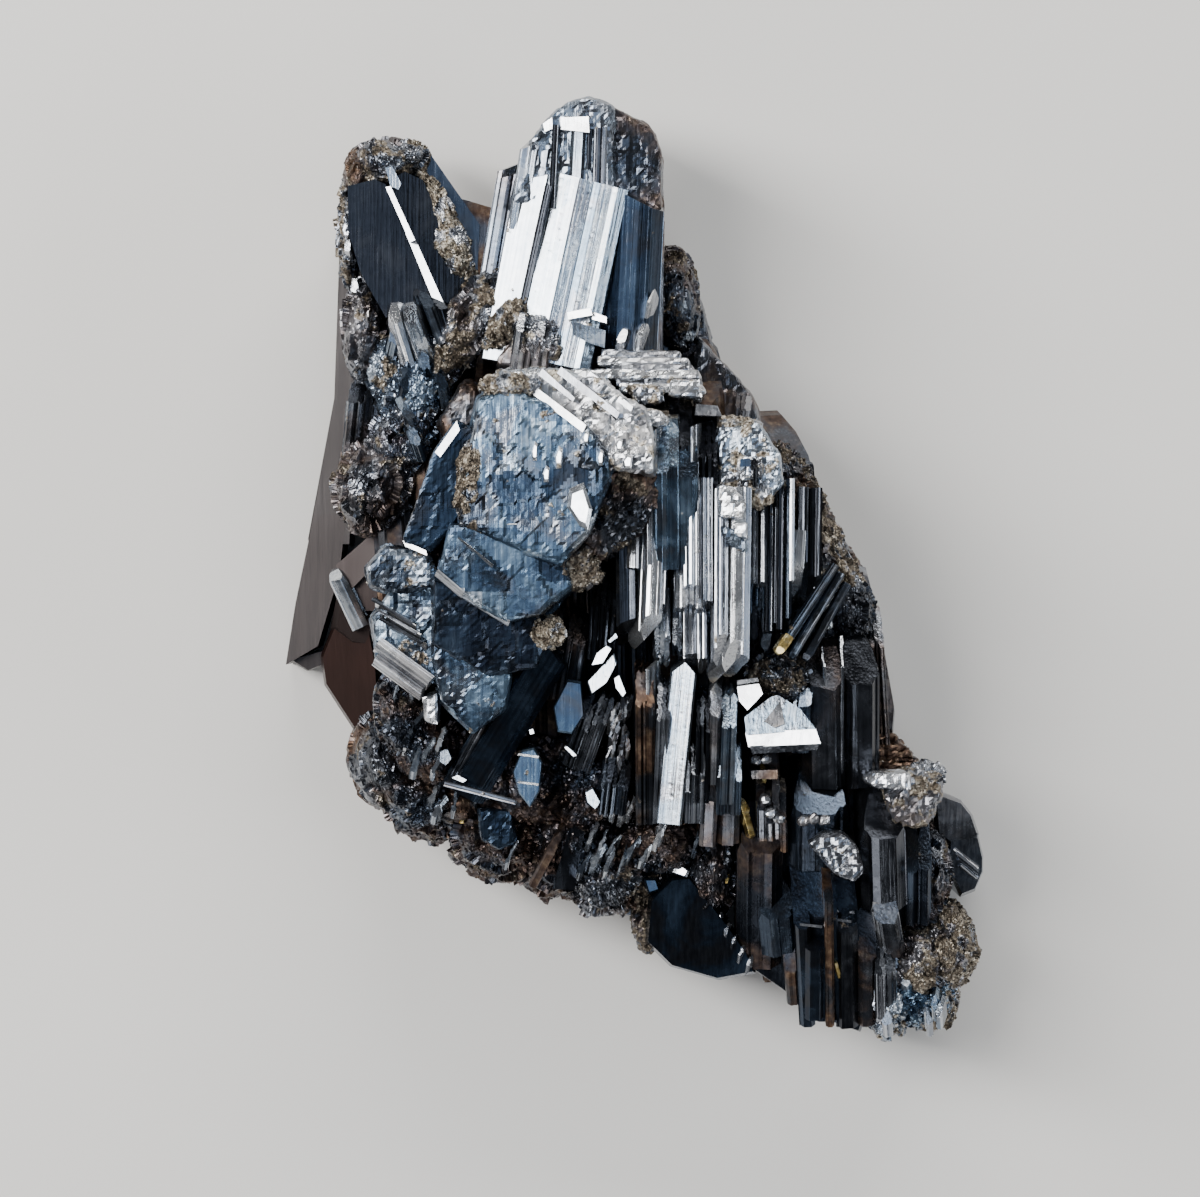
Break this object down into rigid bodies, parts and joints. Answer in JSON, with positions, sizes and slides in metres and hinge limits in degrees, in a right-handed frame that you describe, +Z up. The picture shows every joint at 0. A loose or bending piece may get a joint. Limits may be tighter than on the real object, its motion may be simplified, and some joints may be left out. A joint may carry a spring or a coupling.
{
  "type": "stibnite crystal cluster",
  "caption": "Stocky cluster of intergrown striated metallic prisms, blocks and plates, lying on the flat break where it grew.",
  "frame": {"origin": "on the flat broken face that the cluster rests on, under the middle of its bounding box", "axes": "+Y along the cluster towards the tip of its tallest prism, +Z up from the rest face to the crystals' front, +X to the right as seen from above with +Y away"},
  "size_m": [0.0705, 0.0952, 0.042],
  "materials": {
    "stibnite": "steel-grey metallic crystal, mirror-bright on striated faces, blue and brown tarnish, granular tan crust"
  },
  "bodies": {
    "root": {"crystal_cluster": "stibnite"}
  },
  "joints": []
}
